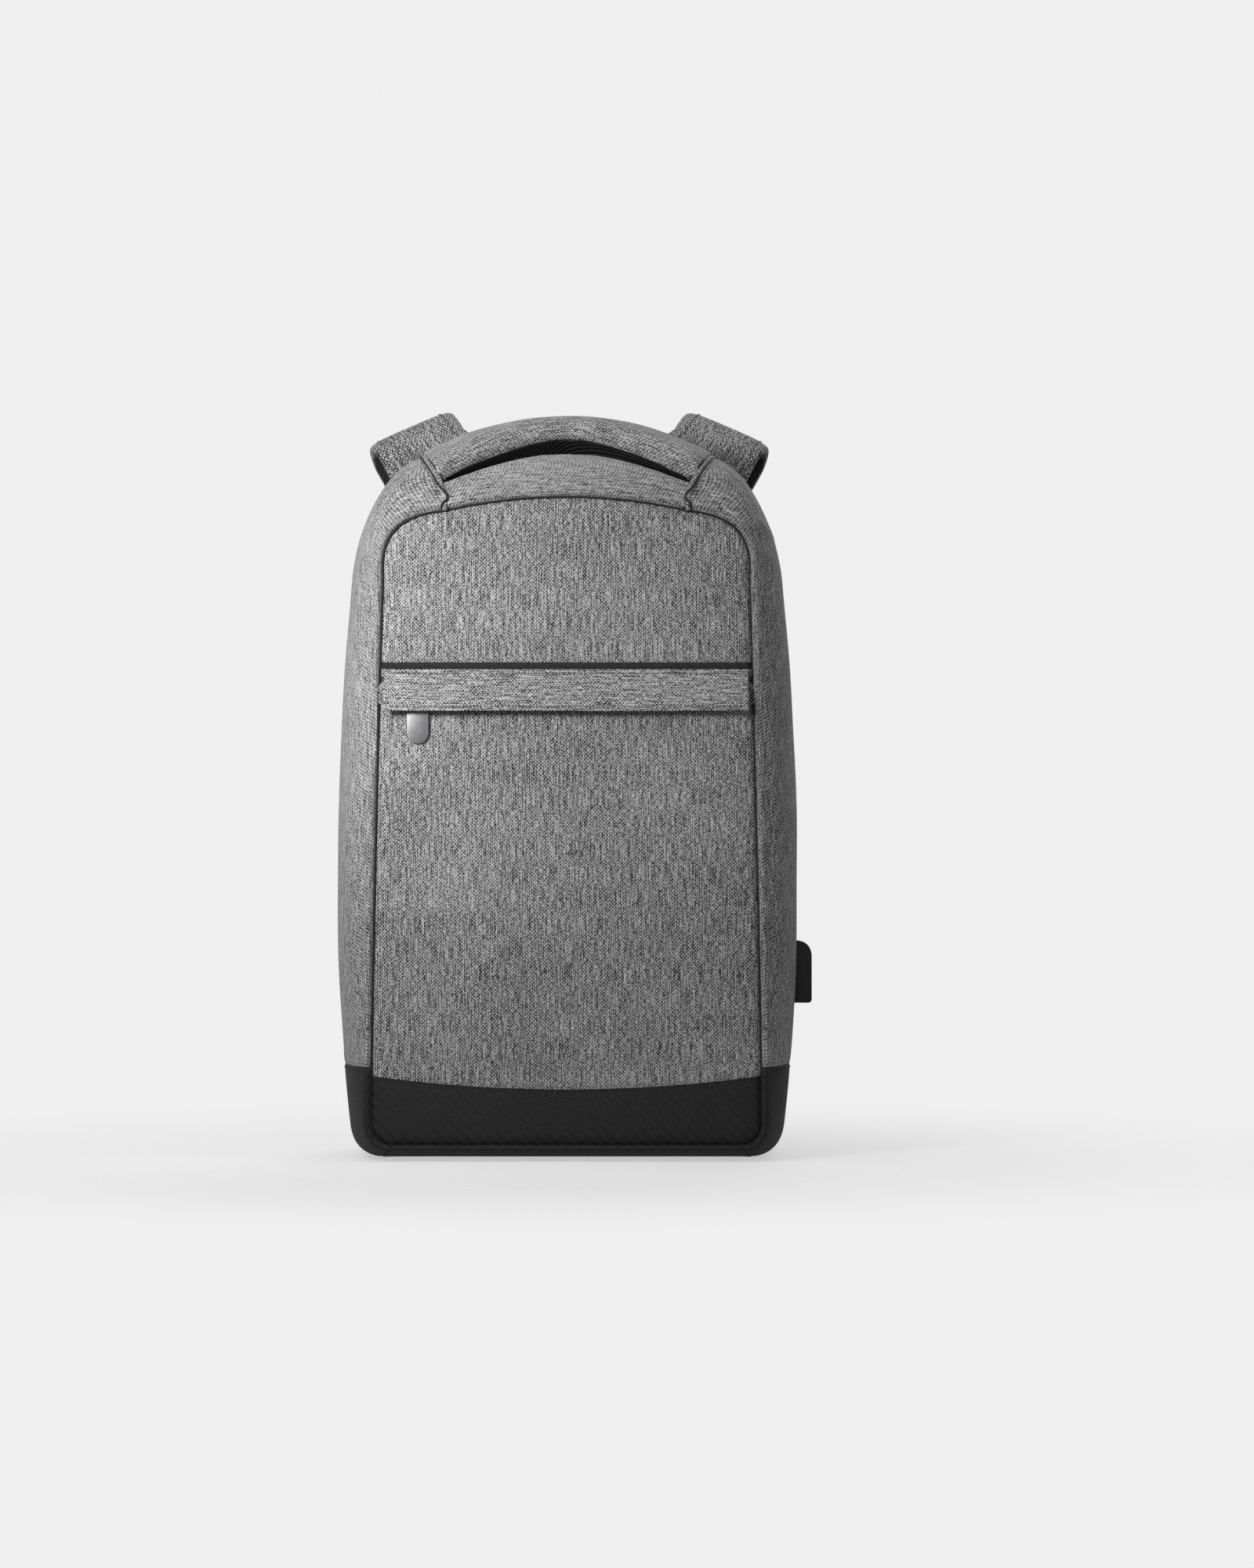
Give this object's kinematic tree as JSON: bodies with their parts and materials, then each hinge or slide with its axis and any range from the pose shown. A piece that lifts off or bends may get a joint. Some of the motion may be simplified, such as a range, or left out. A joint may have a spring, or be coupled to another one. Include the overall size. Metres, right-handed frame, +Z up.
{
  "type": "backpack",
  "caption": "Grey melange city backpack with a flap-covered front pocket, haul handle, shoulder straps, side USB outlet and a back panel that unzips as a door.",
  "frame": {"origin": "centre of the flat underside the pack stands on, on the plane of left-right symmetry of the shell", "axes": "+Z up; the front faces -Y and the straps +Y; the USB outlet is on +X"},
  "size_m": [0.289, 0.1741, 0.4616],
  "materials": {
    "melange_fabric": "grey melange polyester, fine twill with slubs",
    "base_fabric": "black coated basket-weave polyester",
    "piping": "dark grey woven tape",
    "air_mesh": "black spacer mesh",
    "lining": "charcoal taffeta lining",
    "back_fabric": "black polyester over foam",
    "stiffener": "matt board",
    "zip_coil": "black nylon coil",
    "zip_tape": "black woven tape",
    "zip_metal": "dark nickel",
    "puller_metal": "satin nickel",
    "webbing": "black ribbed webbing",
    "black_plastic": "fine spark texture",
    "socket_metal": "nickel plated",
    "socket_plastic": "white moulded",
    "contact_gold": "gold plated"
  },
  "bodies": {
    "tub": {"base_board": "stiffener", "base_side_left": "base_fabric", "base_side_right": "base_fabric", "bottom_panel": "base_fabric", "front_base_panel": "base_fabric", "front_coil_lower": "zip_coil", "front_coil_upper": "zip_coil", "front_panel": "melange_fabric", "front_piping": "piping", "front_tape_lower": "zip_tape", "front_tape_upper": "zip_tape", "front_zip_stops": "zip_metal", "gusset_left": "melange_fabric", "gusset_right": "melange_fabric", "handle_cover": "melange_fabric", "handle_mesh": "air_mesh", "handle_tab_left": "melange_fabric", "handle_tab_right": "melange_fabric", "laptop_sleeve": "lining", "pocket_face": "melange_fabric", "pocket_lining": "lining", "power_bank_pocket": "lining", "rear_coil_body": "zip_coil", "rear_sill": "base_fabric", "rear_tape_body": "zip_tape", "top_gusset": "melange_fabric", "trim_strip": "piping", "usb_contacts": "contact_gold", "usb_gland": "black_plastic", "usb_housing": "black_plastic", "usb_inner_plate": "black_plastic", "usb_screws": "socket_metal", "usb_socket_shell": "socket_metal", "usb_tongue": "socket_plastic", "zip_facing": "melange_fabric"},
    "front_zip_slider": {"front_slider": "zip_metal"},
    "front_zip_puller": {"front_puller": "puller_metal"},
    "flap": {"pocket_flap": "melange_fabric"},
    "back_door": {"back_board": "back_fabric", "back_pad_left": "air_mesh", "back_pad_right": "air_mesh", "door_rim": "piping", "ladder_lock_left": "black_plastic", "ladder_lock_right": "black_plastic", "lower_webbing_left": "webbing", "lower_webbing_right": "webbing", "lumbar_pad": "air_mesh", "rear_coil_door": "zip_coil", "rear_tape_door": "zip_tape", "shoulder_strap_left": "melange_fabric", "shoulder_strap_right": "melange_fabric", "strap_end_loop_left": "webbing", "strap_end_loop_right": "webbing", "strap_mesh_left": "air_mesh", "strap_mesh_right": "air_mesh", "strap_yoke": "back_fabric", "wing_tab_left": "back_fabric", "wing_tab_right": "back_fabric"},
    "rear_zip_slider": {"rear_slider": "zip_metal"},
    "rear_zip_puller": {"rear_puller": "zip_metal"}
  },
  "joints": [
    {"name": "front_zip", "type": "slide", "parent": "tub", "child": "front_zip_slider", "axis": [1, 0, 0], "range_m": [0, 0.178]},
    {"name": "front_puller_swing", "type": "hinge", "parent": "front_zip_slider", "child": "front_zip_puller", "pos_m": [-0.089, -0.067, 0.28], "axis": [0, -1, 0], "range_deg": [-60, 60]},
    {"name": "flap_lift", "type": "hinge", "parent": "tub", "child": "flap", "pos_m": [0, -0.066, 0.2945], "axis": [-1, 0, 0], "range_deg": [0, 70]},
    {"name": "door_open", "type": "hinge", "parent": "tub", "child": "back_door", "pos_m": [0, 0.0605, 0.012], "axis": [-1, 0, 0], "range_deg": [0, 65]},
    {"name": "rear_zip", "type": "slide", "parent": "tub", "child": "rear_zip_slider", "axis": [0, 0, 1], "range_m": [0, 0.24]},
    {"name": "rear_puller_swing", "type": "hinge", "parent": "rear_zip_slider", "child": "rear_zip_puller", "pos_m": [-0.1327, 0.06, 0.075], "axis": [0, 1, 0], "range_deg": [0, 150]}
  ]
}
